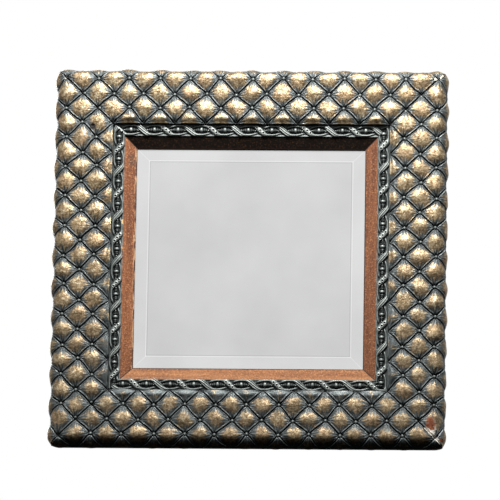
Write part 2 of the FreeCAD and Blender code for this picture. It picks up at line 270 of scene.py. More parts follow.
# Where the finish is knocked off or stained: place, radius in metres, what shows
chips = [
    ((0.1611, -0.0340, 0.2523), 0.0026, "chip"),
    ((0.2765, -0.0335, 0.2795), 0.0032, "chip"),
    ((0.2835, -0.0320, 0.2835), 0.0024, "chip"),
    ((0.2862, -0.0310, 0.2862), 0.0018, "chip"),
    ((0.2730, -0.0380, -0.2565), 0.0074, "chip"),
    ((0.2745, -0.0375, -0.2660), 0.0070, "chip"),
    ((0.2726, -0.0380, -0.2552), 0.0070, "clay"),
    ((0.2732, -0.0378, -0.2604), 0.0076, "clay"),
    ((0.2746, -0.0370, -0.2650), 0.0054, "clay"),
    ((0.2652, -0.0335, -0.2657), 0.0027, "chip"),
    ((0.2680, -0.0335, -0.2688), 0.0028, "chip"),
    ((0.2712, -0.0335, -0.2715), 0.0034, "chip"),
    ((0.2755, -0.0345, -0.2728), 0.0048, "chip"),
    ((0.2785, -0.0335, -0.2770), 0.0038, "chip"),
    ((0.2812, -0.0325, -0.2808), 0.0030, "chip"),
    ((0.2838, -0.0315, -0.2838), 0.0028, "chip"),
    ((0.2862, -0.0300, -0.2862), 0.0028, "chip"),
    ((0.2885, -0.0300, -0.2830), 0.0034, "clay"),
    ((-0.2872, -0.0290, 0.2850), 0.0017, "chip"),
    ((-0.2843, -0.0305, 0.2818), 0.0017, "chip"),
    ((-0.2812, -0.0320, 0.2786), 0.0016, "chip"),
    # the hole, its shade painted as a dark spot
    ((-0.2385, -0.0365, 0.2018), 0.0049, "hole"),
]


def quiltMaterial():
    # Cast composition relief, leafed, darkened with a slate patina and rubbed back to
    # bronze on the crowns: satin metal over matt grooves, grain from the leaf
    material, tree = startMaterial("castReliefBronzePatina")
    finish = quiltFinish
    where = add(tree, "TexCoord", {})
    place = where.outputs["Object"]
    # the pillow's own map, folded to one quarter: 0 in the middle, 0.5 at its seams
    half = (0.5, 0.5, 0.0)
    local = add(tree, "VectorMath", {0: where.outputs["UV"], 1: half}, operation="SUBTRACT")
    size = add(tree, "VectorMath", {0: local}, operation="ABSOLUTE")
    split = add(tree, "SeparateXYZ", {0: size})
    widest = add(tree, "Math", {0: split.outputs[0], 1: split.outputs[1]}, operation="MAXIMUM")
    toCrown = weighted(tree, 1.0, (widest, -2.0))
    falls = []
    for out in split.outputs[:2]:
        square = add(tree, "Math", {0: out, 1: out}, operation="MULTIPLY")
        falls.append(weighted(tree, 1.0, (square, -4.0)))
    roundness = add(tree, "Math", {0: falls[0], 1: falls[1]}, operation="MULTIPLY")
    # streaks that run out from each button
    toButton = add(tree, "VectorMath", {0: half, 1: size}, operation="SUBTRACT")
    fromButton = add(tree, "VectorMath", {0: toButton}, operation="LENGTH").outputs["Value"]
    ray = add(tree, "VectorMath", {0: toButton}, operation="NORMALIZE")
    slow = add(tree, "VectorMath", {0: place, "Scale": 45.0}, operation="SCALE")
    fan = add(tree, "VectorMath", {0: ray, 1: (6.0, 6.0, 6.0), 2: slow}, operation="MULTIPLY_ADD")
    streaks = add(tree, "TexNoise", {"Vector": fan, "Scale": 1.5, "Roughness": 0.6})
    blotch, fine, wide, cloud = (
        add(tree, "TexNoise", {"Vector": place, "Scale": scale, "Detail": detail,
                               "Roughness": rough})
        for scale, detail, rough in (
            (190.0, 4.0, 0.7),      # 5 mm patches of leaf
            (620.0, 3.0, 0.7),      # 1.6 mm grain, coarser than real leaf so that it shows
            (22.0, 2.0, 0.5),       # 45 mm drifts of tone
            (75.0, 2.0, 0.6)))      # 13 mm clouds, so that no two pillows match
    pits = add(tree, "TexVoronoi", {"Vector": place, "Scale": 330.0})   # 3 mm apart
    folds = add(tree, "Attribute", {}, attribute_name="fold").outputs["Fac"]

    # slate patina, dark in the seam, rubbed silver on the piping beside it
    slate = add(tree, "ValToRGB", {0: toCrown}, ramp=[
        (0.0, finish["seamDark"]), (0.040, finish["seamDark"]), (0.092, finish["seamRub"]),
        (0.150, finish["slateDeep"]), (0.30, finish["slate"]), (0.55, finish["slateHigh"])])
    slate = wash(tree, slate, finish["slateDeep"], 0.60, (cloud, 0.44, 0.60))
    slate = wash(tree, slate, finish["slateStreak"], 0.60, (streaks, 0.50, 0.72))
    # painted highlight on the ridges between the creases near the buttons
    slate = wash(tree, slate, finish["ridge"], 0.40, (fromButton, 0.42, 0.10), (folds, 0.45, 0.05))
    slate = wash(tree, slate, finish["slateGrain"], 0.50, (fine, 0.45, 0.75))
    seam = add(tree, "MapRange", {"Value": toCrown, "From Min": 0.072, "From Max": 0.036})
    slate = wash(tree, slate, finish["seamDark"], seam)

    # bronze leaf on the crown
    bronze = add(tree, "ValToRGB", {0: blotch}, ramp=[
        (0.30, finish["bronzeDeep"]), (0.48, finish["bronze"]), (0.66, finish["cream"])])
    bronze = wash(tree, bronze, finish["copper"], 0.55, (wide, 0.48, 0.66), (blotch, 0.50, 0.62))
    bronze = wash(tree, bronze, finish["grainDark"], 0.60, (fine, 0.52, 0.68))
    bronze = wash(tree, bronze, finish["grainBright"], 0.60, (fine, 0.46, 0.32))
    bronze = wash(tree, bronze, finish["pit"], 1.0, (pits, 0.16, 0.06), (blotch, 0.50, 0.60))

    # painted shade low on the frame: darker bronze and less of it; less bronze beside the ribbon
    # too
    spread = add(tree, "SeparateXYZ", {0: place})
    level = spread.outputs[2]
    bronze = wash(tree, bronze, finish["bronzeShadedLow"], 0.32, (level, *finish["shadedLowRail"]))
    # low: the painted shade of the lower rails, nothing up top, whole at the bottom
    low = risen(tree, 1.0, (level, *finish["shadedLowRail"]))
    across, up = (add(tree, "Math", {0: spread.outputs[i]}, operation="ABSOLUTE") for i in (0, 2))
    reach = add(tree, "Math", {0: across, 1: up}, operation="MAXIMUM")
    dull = risen(tree, weighted(tree, 0.15, (low, 0.55)), (reach, *finish["innerRow"]))
    pushes = ((streaks, finish["streak"]), (blotch, 0.50), (fine, 0.25), (cloud, 1.0))
    edge = weighted(tree, -0.5 * sum(weight for _, weight in pushes), *pushes, (folds, -1.2),
                    (low, -0.10), (dull, -1.0), (roundness, 1.0))
    crown = risen(tree, 1.0, (edge, *finish["edgeOfBronze"]))
    shown = wash(tree, slate, bronze, crown)
    # painted shade in the creases
    shown = wash(tree, shown, finish["crease"], 0.75, (folds, 0.30, 0.80))

    # knocks down to the white ground or the red clay, both chalky and dull
    ragged = weighted(tree, 0.0, (fine, 0.6), (blotch, 0.4))
    cracks = [risen(tree, 0.8, climb) for climb in ((pits, 0.30, 0.14), (fine, 0.52, 0.60))]
    cracked = add(tree, "Math", {0: cracks[0], 1: cracks[1]}, operation="MAXIMUM")
    clay = wash(tree, colour(finish["clay"]), finish["clayDeep"], cracked)
    clay = wash(tree, clay, finish["clayDeep"], 1.0, (blotch, 0.46, 0.36))
    bare = 0.0
    for spot, radius, kind in chips:
        tear = 3.6 if radius > finish["bigChip"] else 1.4
        mask = nearSpot(tree, place, spot, radius, ragged, tear)
        shown = wash(tree, shown, clay if kind == "clay" else finish[kind], mask)
        bare = add(tree, "Math", {0: bare, 1: mask}, operation="MAXIMUM")
    rough = weighted(tree, 0.31, (fine, 0.26), (bare, 0.4))
    leaf, covered = weighted(tree, 0.45, (crown, 0.38)), weighted(tree, 1.0, (bare, -1.0))
    metal = add(tree, "Math", {0: leaf, 1: covered}, operation="MULTIPLY")
    pulls = risen(tree, streaks, (fromButton, 0.42, 0.10))
    height = weighted(tree, 0.0, (fine, 1.0), (pits, 0.4), (blotch, 0.8), (pulls, 2.6))
    bump = add(tree, "Bump", {"Strength": 0.8, "Distance": 0.0006, "Height": height})
    endMaterial(tree, shown, rough, metal, bump)
    return material


stripFinish = {
    "dark": "#181B1A",
    "low": "#363C3A",
    "middle": "#515754",
    "high": "#767C79",
    "rubbed": "#BDC0BA",
    "chip": "#D8A878",
    "chips": [((-0.1909, -0.0275, 0.0560), 0.0022), ((-0.1909, -0.0275, 0.0520), 0.0022),
              ((-0.1902, -0.0275, 0.0133), 0.0024)],
}


def stripMaterial():
    # The same cast composition with a pewter patina, rubbed bright on its high edges, with painted
    # highlights and painted shade in its tone
    material, tree = startMaterial("castStripPewterPatina")
    finish = stripFinish
    place = add(tree, "TexCoord", {}).outputs["Object"]
    rise = add(tree, "Attribute", {}, attribute_name="rise").outputs["Fac"]
    fine = add(tree, "TexNoise", {"Vector": place, "Scale": 600.0, "Detail": 3.0,   # 1.7 mm
                                  "Roughness": 0.6})
    blotch = add(tree, "TexNoise", {"Vector": place, "Scale": 90.0})                # 11 mm
    level = add(tree, "SeparateXYZ", {0: place}).outputs[2]
    # painted light: the top strip a little lighter, against the shadow it lies in
    paintedLightOnTop = risen(tree, 0.02, (level, 0.17, 0.19))
    wearAndPaintedLight = weighted(tree, -0.5 * (0.75 + 0.40), (rise, 1.0), (fine, 0.75), (blotch, 0.40),
                    (paintedLightOnTop, 1.0))
    shown = add(tree, "ValToRGB", {0: wearAndPaintedLight}, ramp=[
        (0.0, finish["dark"]), (0.20, finish["low"]), (0.45, finish["middle"]),
        (0.72, finish["high"]), (1.0, finish["rubbed"])])
    for spot, radius in finish["chips"]:
        mask = nearSpot(tree, place, spot, radius, fine, 3.6)
        shown = wash(tree, shown, finish["chip"], mask)
    bump = add(tree, "Bump", {"Strength": 0.3, "Distance": 0.0003, "Height": fine})
    endMaterial(tree, shown, weighted(tree, 0.38, (fine, 0.2)), 0.35, bump)
    return material


woodFinish = {
    "core": ("#5A4029", "#7E5E3D", "#9C7A52"),
    "liner": ("#5A2F18", "#7A4624", "#925A34"),
    # the bottom liner's shades: painted light, lighter than the uprights as it faces up to the
    # lamp
    "paintedLightLiner": ("#70442A", "#925F38", "#AC774C"),
    # the top liner's shades: painted shade, near black, as that liner lies in shadow
    "paintedShadeLiner": ("#080504", "#0C0805", "#120C08"),
    "speckBright": "#C98B5E",
    "speckDark": "#3B2014",
    # grime in the mitres, and painted shade of the gap along the glass
    "grimeAndGapShade": "#20140D",
    # painted shade for the right liner
    "shade": "#3A1D10",
    "dash": "#C9A078",
    "sightEdge": 0.17145,           # half the opening of the liner
    "marks": [
        ((-0.1790, -0.0240, 0.1570), 0.0062, "#4A3728"),
        ((-0.1780, -0.0240, 0.1480), 0.0060, "#4A3728"),
        ((-0.1712, -0.0215, 0.0340), 0.0022, "#D9A878"),
        ((-0.1712, -0.0215, 0.0280), 0.0022, "#D9A878"),
    ],
}


def woodMaterial(name, kind, upright, fibreWidth=0.0016, rough=0.62, speckle=0.0, liner=False,
                 specular=0.5):
    # Softwood, sawn and planed: long fibres along the rail, growth bands, open grain
    material, tree = startMaterial(name)
    finish = woodFinish
    place = add(tree, "TexCoord", {}).outputs["Object"]
    stretch = (1.0, 1.0, 0.06) if upright else (0.06, 1.0, 1.0)
    along = add(tree, "Mapping", {"Vector": place, "Scale": stretch})
    fibre = add(tree, "TexNoise", {"Vector": along, "Scale": 1 / fibreWidth, "Detail": 3.0,
                                   "Roughness": 0.65})
    bands = add(tree, "TexNoise", {"Vector": along, "Scale": 1 / (9 * fibreWidth),
                                   "Distortion": 0.6})
    mixed = weighted(tree, 0.0, (fibre, 0.45), (bands, 0.55))
    shades = finish[kind]
    shown = add(tree, "ValToRGB", {0: mixed}, ramp=[
        (0.34, shades[0]), (0.50, shades[1]), (0.64, shades[2])])
    sand = add(tree, "TexNoise", {"Vector": place, "Scale": 480.0, "Detail": 3.0,   # 2 mm
                                  "Roughness": 0.75})
    if speckle:
        shown = wash(tree, shown, finish["speckBright"], speckle, (sand, 0.52, 0.66))
        shown = wash(tree, shown, finish["speckDark"], speckle, (sand, 0.46, 0.32))
    if liner:  # grime in the mitres, painted shade of the gap along the glass, a few worn dashes beside it
        split = add(tree, "SeparateXYZ", {0: place})
        across = split.outputs[0]
        wide, tall = (add(tree, "Math", {0: split.outputs[i]}, operation="ABSOLUTE")
                      for i in (0, 2))
        apart = weighted(tree, wide, (tall, -1.0))
        mitre = add(tree, "Math", {0: apart}, operation="ABSOLUTE")
        fromGlass = weighted(tree, -finish["sightEdge"] - 0.5 * 0.003, (sand, 0.003),
                             (wide if upright else tall, 1.0))
        jointAndGapMasks = [risen(tree, 0.85, climb)
                for climb in ((mitre, 0.0015, 0.0007), (fromGlass, 0.0019, 0.0010))]
        jointGrimeAndGapShade = add(tree, "Math", {0: jointAndGapMasks[0], 1: jointAndGapMasks[1]}, operation="MAXIMUM")
        shown = wash(tree, shown, finish["grimeAndGapShade"], jointGrimeAndGapShade)
        if upright:
            dashes = add(tree, "TexNoise", {"Vector": along, "Scale": 900.0, "Detail": 1.0})
            # painted shade: the right liner darker than the left
            shown = wash(tree, shown, finish["shade"], 0.22, (across, -0.1, 0.0))
            shown = wash(tree, shown, finish["dash"], 1.0, (fromGlass, 0.0032, 0.0024),
                         (dashes, 0.56, 0.60), (across, 0.0, -0.1))
            for spot, radius, shade in finish["marks"]:
                mask = nearSpot(tree, place, spot, radius, sand, 4.5, 0.6)
                shown = wash(tree, shown, shade, mask)
    height = weighted(tree, fibre, (sand, 0.5))
    bump = add(tree, "Bump", {"Strength": 0.3, "Distance": 0.0004, "Height": height})
    endMaterial(tree, shown, rough, 0.0, bump, Specular_IOR_Level=specular)
    return material


glassFinish = {
    "silver": ("#D8D8D8", "#E1E1E1"),
    "bevelInside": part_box("mirror_plate")[1][0] - 0.0254,   # a 1 inch bevel
    # painted highlight and painted darker line along the bevel's arris, painted highlight on its
    # mitres
    "lines": ((0.28, -0.0012, "#A9ABAB"), (0.42, 0.0004, "#FFFFFF")),  # share, place, shade
    "mitre": "#FFFFFF",
}


def mirrorMaterial():
    # Silvered plate glass, polished and bevelled, seen as its silvering, with a little haze
    material, tree = startMaterial("silveredPlateGlass")
    finish = glassFinish
    place = add(tree, "TexCoord", {}).outputs["Object"]
    haze = add(tree, "TexNoise", {"Vector": place, "Scale": 9.0, "Detail": 3.0})
    shown = add(tree, "ValToRGB", {0: haze}, ramp=[
        (0.35, finish["silver"][0]), (0.65, finish["silver"][1])])
    # the arris of the bevel and its mitres: a painted highlight line with a painted darker line
    # inside it
    split = add(tree, "SeparateXYZ", {0: place})
    wide, tall = (add(tree, "Math", {0: split.outputs[i]}, operation="ABSOLUTE") for i in (0, 2))
    reach = add(tree, "Math", {0: wide, 1: tall}, operation="MAXIMUM")
    for share, middle, shade in finish["lines"]:
        off = weighted(tree, -finish["bevelInside"] - middle, (reach, 1.0))
        off = add(tree, "Math", {0: off}, operation="ABSOLUTE")
        shown = wash(tree, shown, shade, share, (off, 0.0010, 0.0004))
    apart = weighted(tree, wide, (tall, -1.0))
    mitre = add(tree, "Math", {0: apart}, operation="ABSOLUTE")
    inside = finish["bevelInside"]
    shown = wash(tree, shown, finish["mitre"], 0.25, (mitre, 0.0012, 0.0004),
                 (reach, inside, inside + 0.0005))
    endMaterial(tree, shown, 0.04, 0.86)
    return material


def boardMaterial():
    # Hardboard: pressed wood fibre, mottled brown with a faint sheen
    material, tree = startMaterial("pressedHardboard")
    place = add(tree, "TexCoord", {}).outputs["Object"]
    fibre = add(tree, "TexNoise", {"Vector": place, "Scale": 420.0, "Detail": 4.0,  # 2.4 mm
                                   "Roughness": 0.7})
    cloud = add(tree, "TexNoise", {"Vector": place, "Scale": 30.0})                 # 33 mm
    mixed = weighted(tree, 0.0, (fibre, 0.6), (cloud, 0.4))
    shown = add(tree, "ValToRGB", {0: mixed}, ramp=[
        (0.36, "#4A3322"), (0.50, "#6A4B33"), (0.64, "#84623F")])
    bump = add(tree, "Bump", {"Strength": 0.35, "Distance": 0.0003, "Height": fibre})
    endMaterial(tree, shown, 0.58, 0.0, bump)
    return material


def steelMaterial(name, shades, rough, scratch):
    # Rolled strip or drawn wire: bright metal with fine scratches and dull patches
    material, tree = startMaterial(name)
    place = add(tree, "TexCoord", {}).outputs["Object"]
    cloud = add(tree, "TexNoise", {"Vector": place, "Scale": 260.0, "Detail": 3.0,  # 4 mm
                                   "Roughness": 0.6})
    fine = add(tree, "TexNoise", {"Vector": place, "Scale": 1800.0, "Roughness": 0.6})  # 0.6 mm
    shown = add(tree, "ValToRGB", {0: cloud}, ramp=[(0.35, shades[0]), (0.62, shades[1])])
    bump = add(tree, "Bump", {"Strength": 0.2, "Distance": 0.00015, "Height": fine})
    endMaterial(tree, shown, weighted(tree, rough, (cloud, scratch)), 1.0, bump)
    return material


finishes = {
    "quilt": quiltMaterial(),
    "strip": stripMaterial(),
    "coreAcross": woodMaterial("pineAcross", "core", False),
    "coreUpright": woodMaterial("pineUpright", "core", True),
    # the top liner: painted shade, near black and with little gloss
    "linerTop": woodMaterial("redwoodSooty", "paintedShadeLiner", False, 0.0012, 0.95, 0.08, True, 0.12),
    # used only on the bottom liner: painted light
    "linerAcross": woodMaterial("redwoodAcross", "paintedLightLiner", False, 0.0012, 0.85, 0.75, True),
    "linerUpright": woodMaterial("redwoodUpright", "liner", True, 0.0012, 0.85, 0.75, True),
    "mirror": mirrorMaterial(),
    "board": boardMaterial(),
    "steel": steelMaterial("rolledSteel", ("#7C7C7A", "#A2A2A0"), 0.34, 0.25),
    "zinc": steelMaterial("zincPlatedSteel", ("#A9ACAD", "#CBCDCD"), 0.24, 0.22),
}
print("finishes:", len(finishes))


# The quilted relief, one pillow made and repeated over the lattice, then rolled over the edge

quilt = {
    "half": 0.02315,        # half the distance between buttons
    "crown": 0.0058,        # height of a pillow over its seams
    "cells": 41,            # mesh cells across one pillow
    "crowding": 1.4,        # crowds the mesh lines towards the seams
    "plump": 0.58,          # below 1 the pillow is fuller near its seams
    "ridge": 0.16,          # share of a soft fold from side button to side button
    "piping": 0.0011,
    "pipingFrom": 0.0018,   # from the middle of the seam
    "crease": 0.0009,       # depth
    "creaseWidth": 0.0007,
    # heading in degrees from the seam, and length
    "creases": ((13, 0.0095), (34, 0.0140), (57, 0.0130), (78, 0.0100)),
    "pit": 0.0012,          # under a button
    "pitRadius": 0.0040,
    "wobble": 0.00042,      # how uneven the pillows are
    "firstRow": 9,          # rows are counted in halves from the middle of the mirror
    "rollRow": 12,
    "hemRow": 14,
    "faceRise": 0.0330,     # rises are measured from the wall
    "rollRadius": 0.0130,
    "hemRise": 0.0030,
    "coreTop": 0.0294,
    "lipThick": 0.00315,
    "seatRise": 0.0229,
    "sideThick": 0.0040,
    "coreChamfer": 0.0008,
    "cornerRadius": 0.0190,
    "bulge": (0.98, 0.12),  # where the corner's one full bulge starts and is whole, in halves
    "cornerShare": 0.80,    # of a pillow's height, on the corner's bulge
    "cornerExtra": 0.0030,  # more where the roll is steepest
    "cornerPush": 0.0024,   # the last crossing on the mitre sits this much further out
    # how much of the relief is left past the roll
    "crest": {"top": 1.0, "right": 1.0, "bottom": 0.66, "left": 1.0},
    # dents in the outline: along, reach, radius, depth
    "knocks": {"top": (), "bottom": (), "right": ((0.2592, 0.2765, 0.0085, 0.0007),),
               "left": ((0.2015, 0.2385, 0.0024, 0.0016),)},
    "waves": 9,             # that make the pillows uneven
    "waveLengths": (0.018, 0.05),   # the shortest, and how much longer they can be
    "drift": 0.0009,        # of the buttons, nothing at the mitres, the strip and the hem
    "driftFromMitre": (0.002, 0.022),
    "driftFull": 0.223,
    "driftFromHem": 0.026,
    "driftWaves": (((0.071, 0.115), (-0.19, 0.052)), ((0.083, -0.064), (0.047, 0.21))),
    "lipTone": (0.14, 0.5),     # where on a pillow's map the lip and the back take their tone
    "innerDip": 0.0016,     # the face falls a little to the ribbon strip
    "innerFade": 0.009,     # over this width
    "pushRadius": 0.012,    # round each corner, where the cells are pushed outwards
    "pipingWidth": 0.0006,
    "groove": 0.0006,       # in the seam
    "grooveWidth": 0.0008,
    # at the two ends of each rail
    "mitreGap": {"top": (0.0009, 0.0002), "right": (0.0002, 0.0002),
                 "bottom": (0.0002, 0.0002), "left": (0.0002, 0.0009)},
}
quilt["fieldReach"] = quilt["firstRow"] * quilt["half"]
quilt["rollReach"] = quilt["rollRow"] * quilt["half"]
quilt["sideReach"] = quilt["rollReach"] + quilt["rollRadius"]
quilt["rollRise"] = quilt["faceRise"] - quilt["rollRadius"]
quilt["rollEnd"] = quilt["rollReach"] + quilt["rollRadius"] * math.pi / 2
quilt["crestRun"] = quilt["rollReach"] + quilt["half"]
quilt["crestRise"] = quilt["rollRise"] - (quilt["crestRun"] - quilt["rollEnd"])
quilt["coreSide"] = quilt["sideReach"] - quilt["sideThick"]


def pillowHeight(p, q):
    edge = quilt["half"] / math.sqrt(2)       # half the length of a pillow's edge
    a, b = np.abs(p), np.abs(q)
    across, up = (p - q) / 2, (p + q) / 2
    dome = ((1 - a ** 2) * (1 - b ** 2)) ** quilt["plump"]
    softUp = np.sqrt(up ** 2 + 0.0016) - 0.04
    fold = np.clip(1 - softUp / np.maximum(1 - np.abs(across), 0.02), 0, 1)
    fold = fold * (1 - across ** 2) ** 1.1
    height = quilt["crown"] * ((1 - quilt["ridge"]) * dome + quilt["ridge"] * fold)
    seam = (1 - np.maximum(a, b)) * edge
    # two lines of piping beside each seam, lost under the buttons
    run = np.clip((1 - np.minimum(a, b)) * edge / 0.006, 0, 1)
    pipe = np.exp(-((seam - quilt["pipingFrom"]) / quilt["pipingWidth"]) ** 2)
    height += quilt["piping"] * pipe * run
    height -= quilt["groove"] * np.exp(-(seam / quilt["grooveWidth"]) ** 2)
    # creases fan out from the buttons, deepest from those at the sides
    folds = np.zeros_like(height)
    for cp, cq, share in ((1, -1, 1.0), (-1, 1, 1.0), (1, 1, 0.6), (-1, -1, 0.6)):
        dp, dq = (cp - p) * cp * edge, (cq - q) * cq * edge
        reach = np.hypot(dp, dq)
        turn = np.arctan2(dq, dp)
        for heading, length in quilt["creases"]:
            off = reach * np.sin(turn - math.radians(heading)) / quilt["creaseWidth"]
            fade = share * np.exp(-(reach / length) ** 3) * np.clip(reach / 0.003, 0, 1)
            folds = np.maximum(folds, fade * np.exp(-off ** 2))
        height -= quilt["pit"] * np.exp(-(reach / quilt["pitRadius"]) ** 4)
    return height - quilt["crease"] * folds, folds


def makePillow():
    edge = quilt["half"] / math.sqrt(2)
    bpy.ops.mesh.primitive_grid_add(x_subdivisions=quilt["cells"], y_subdivisions=quilt["cells"],
                                    size=2 * edge, location=(0, 0, 0))
    pillow = bpy.context.object
    places = readPlaces(pillow)
    p, q = (np.sign(v) * (1 - (1 - np.minimum(np.abs(v), 1)) ** quilt["crowding"])
            for v in (places[:, 0] / edge, places[:, 1] / edge))
    # turned an eighth, so that the seams run at 45 degrees
    places[:, 0] = (p - q) * edge / math.sqrt(2)
    places[:, 1] = (p + q) * edge / math.sqrt(2)
    places[:, 2], folds = pillowHeight(p, q)
    writePlaces(pillow, places)
    giveLayer(pillow, "fold", folds)
    # the pillow's own map follows the crowded lines
    corners = readAll(pillow.data.loops, "vertex_index", kind=np.int32)
    uv = np.column_stack((p[corners], q[corners])) / 2 + 0.5
    pillow.data.uv_layers.active.data.foreach_set("uv", uv.ravel())
    return pillow


def makeQuiltSheet():
    pillow = makePillow()
    half = quilt["half"]
    rows = quilt["hemRow"] - quilt["firstRow"] + 1
    firstColumn = -20
    pillow.data.transform(Matrix.Translation((firstColumn * half, quilt["fieldReach"], 0)))
    repeatAlong(pillow, 18, (2 * half, 0, 0))
    repeatAlong(pillow, rows, (half, half, 0))
    for side in (-1, 1):  # roughly to length, so that less is carried
        bisectAway(pillow, (side * 2.2 * half, 0, 0), (side, -1, 0))
    bisectAway(pillow, (0, quilt["fieldReach"], 0), (0, -1, 0))
    bisectAway(pillow, (0, quilt["hemRow"] * half, 0), (0, 1, 0))
    mergeDoubles(pillow)
    return pillow


def unevenness(along, run, shift):
    # a few slow waves crossing each other, a different sum on each rail
    draws = np.random.default_rng(11)
    total = np.zeros_like(along)
    shortest, spread = quilt["waveLengths"]
    for _ in range(quilt["waves"]):
        heading, length, start = draws.random(3)
        turn = heading * math.pi
        length = shortest + spread * length
        total += np.sin(2 * math.pi * ((along + shift) * math.cos(turn) + run * math.sin(turn))
                        / length + start * 9)
    return total / 4


def drift(along, run, shift):
    # the buttons sit a little off a true lattice, as pressed by hand
    hem = quilt["hemRow"] * quilt["half"]
    fade = smooth(run - np.abs(along), *quilt["driftFromMitre"])
    fade = fade * smooth(run, quilt["fieldReach"], quilt["driftFull"])
    fade = fade * smooth(hem - run, 0.0, quilt["driftFromHem"]) * quilt["drift"]
    x, y = (along + shift) * 2 * math.pi, run * 2 * math.pi
    return [fade * sum(np.sin(x / lengthwise + y / outward) for lengthwise, outward in waves)
            for waves in quilt["driftWaves"]]


def rollOver(places, side, shift):
    sideways, outward = drift(places[:, 0], places[:, 1], shift)
    along, run, height = places[:, 0] + sideways, places[:, 1] + outward, places[:, 2].copy()
    corner = quilt["rollReach"]
    away = np.hypot(np.abs(along) - corner, run - corner)
    push = quilt["cornerPush"] * np.exp(-(away / quilt["pushRadius"]) ** 2)
    along, run = along + np.sign(along) * push, run + push
    uneven = unevenness(along, run, shift)
    body = np.clip(height / quilt["crown"], 0, 1)
    height = np.minimum(height + uneven * quilt["wobble"] * 2 * body - quilt["wobble"] * body,
                        quilt["crown"])
    height = height * (0.5 + 0.5 * smooth(run, quilt["fieldReach"] - 0.002,
                                          quilt["fieldReach"] + quilt["innerFade"]))
    for knockAlong, knockReach, radius, deep in quilt["knocks"][side]:
        away = np.hypot(places[:, 0] - knockAlong, places[:, 1] - knockReach)
        height = height - deep * np.exp(-(away / radius) ** 4)
    ebb = (1 - quilt["crest"][side]) * smooth(run, quilt["rollReach"], quilt["rollEnd"])
    height = height * (1 - ebb)
    # the frame's corner is one full bulge
    gone = np.hypot(np.abs(along) - quilt["crestRun"], run - quilt["crestRun"]) / quilt["half"]
    bulge = smooth(gone, *quilt["bulge"])
    turn = np.clip((run - quilt["rollReach"]) / quilt["rollRadius"], 0, math.pi / 2)
    full = quilt["cornerShare"] * quilt["crown"] + quilt["cornerExtra"] * np.sin(2 * turn) ** 2
    height = height * (1 - bulge) + full * bulge
    # the pillows die away to a straight hem
    height = height * (1 - smooth(run, quilt["crestRun"] + 0.25 * quilt["half"],
                                  quilt["hemRow"] * quilt["half"]))
    # below the roll the rows close up to end at the hem
    closing = (quilt["crestRise"] - quilt["hemRise"]) / quilt["half"]
    drop = np.clip(run - quilt["rollEnd"], 0, quilt["crestRun"] - quilt["rollEnd"])
    drop = drop + np.maximum(run - quilt["crestRun"], 0) * closing
    flat = np.minimum(run, quilt["rollReach"])
    reach = flat + (quilt["rollRadius"] + height) * np.sin(turn)
    rise = quilt["rollRise"] + (quilt["rollRadius"] + height) * np.cos(turn) - drop
    rise -= quilt["innerDip"] * (1 - smooth(run, quilt["fieldReach"],
                                            quilt["fieldReach"] + quilt["innerFade"]))
    # the last column rolls over the corner as the rows roll over the edge
    limit = quilt["rollReach"]
    over = np.maximum(np.abs(along) - limit, 0)
    bend = np.clip(over / quilt["rollRadius"], 0, math.pi / 2)
    swung = (quilt["rollRadius"] + height) * np.sin(bend)
    swung = swung + 0.05 * np.maximum(over - (quilt["rollEnd"] - limit), 0)
    along = np.sign(along) * (np.minimum(np.abs(along), limit) + swung)
    # the frame's corners are rounded off in plan
    start = quilt["sideReach"] + quilt["crown"] - quilt["cornerRadius"]
    past = np.maximum(np.abs(along) - start, 0)
    out = np.maximum(reach - start, 0)
    widest = np.maximum(past, out)
    shrink = widest / np.maximum(np.hypot(past, out), 1e-9)
    share = np.minimum(widest / quilt["cornerRadius"], 1) ** 2
    shrink = np.where(widest > 0, 1 - share * (1 - shrink), 1)
    along = np.sign(along) * (np.minimum(np.abs(along), start) + past * shrink)
    reach = np.minimum(reach, start) + out * shrink
    return np.column_stack((along, -rise, reach)), bulge


def closeBack(thing, gaps):
    # the seat over the wooden core, joined to the relief all round
    q = quilt
    slope = (q["faceRise"] - q["crestRise"]) / q["rollRadius"]
    shoulder = q["coreTop"] - slope * (q["coreSide"] - q["rollReach"] + q["coreChamfer"])
    hemRise = q["hemRise"]
    lip, chamfer = q["fieldReach"] + q["lipThick"], q["rollReach"] - q["coreChamfer"]
    seat = [(q["fieldReach"], q["seatRise"]), (lip, q["seatRise"]), (lip, q["coreTop"]),
            (chamfer, q["coreTop"]), (q["coreSide"], shoulder), (q["coreSide"], hemRise)]
    points = [(-(reach - gaps[0]), -rise, reach) for reach, rise in seat]
    points += [(reach - gaps[1], -rise, reach) for reach, rise in seat]
    count = len(seat)
    quads = [(i, i + 1, count + i + 1, count + i) for i in range(count - 1)]
    mesh = bpy.data.meshes.new("seat")
    mesh.from_pydata(points, [], quads)
    mesh.uv_layers.new(name=thing.data.uv_layers.active.name)
    back = bpy.data.objects.new("seat", mesh)
    bpy.context.collection.objects.link(back)
    pick(thing, back)
    bpy.ops.object.join()
    near = 0.000004
    places = readPlaces(thing)
    inLip = np.abs(places[:, 2] - q["fieldReach"]) < near
    inHem = (np.abs(places[:, 1] + hemRise) < near) & (places[:, 2] > q["rollReach"])
    inLeft = np.abs(places[:, 0] + places[:, 2] - gaps[0]) < near
    inRight = np.abs(places[:, 0] - places[:, 2] + gaps[1]) < near
    for row, seatRow in ((inLip, 0), (inHem, count - 1)):
        for end, first in ((inLeft, 0), (inRight, count)):
            seatIndex = len(places) - 2 * count + first + seatRow
            both = np.nonzero(row & end)[0]
            both = [i for i in both if i < len(places) - 2 * count]
            target = Vector(places[seatIndex])
            corner = min(both, key=lambda i: (Vector(places[i]) - target).length)
            joinTwo(thing, corner, seatIndex)
    for plane in (inLip, inHem, inLeft, inRight):
        ends = readAll(thing.data.edges, "vertices", 2, np.int32)
        onPlane = (edgeUses(thing) < 2) & plane[ends].all(axis=1)
        editEdges(thing, bpy.ops.mesh.edge_face_add, onPlane)


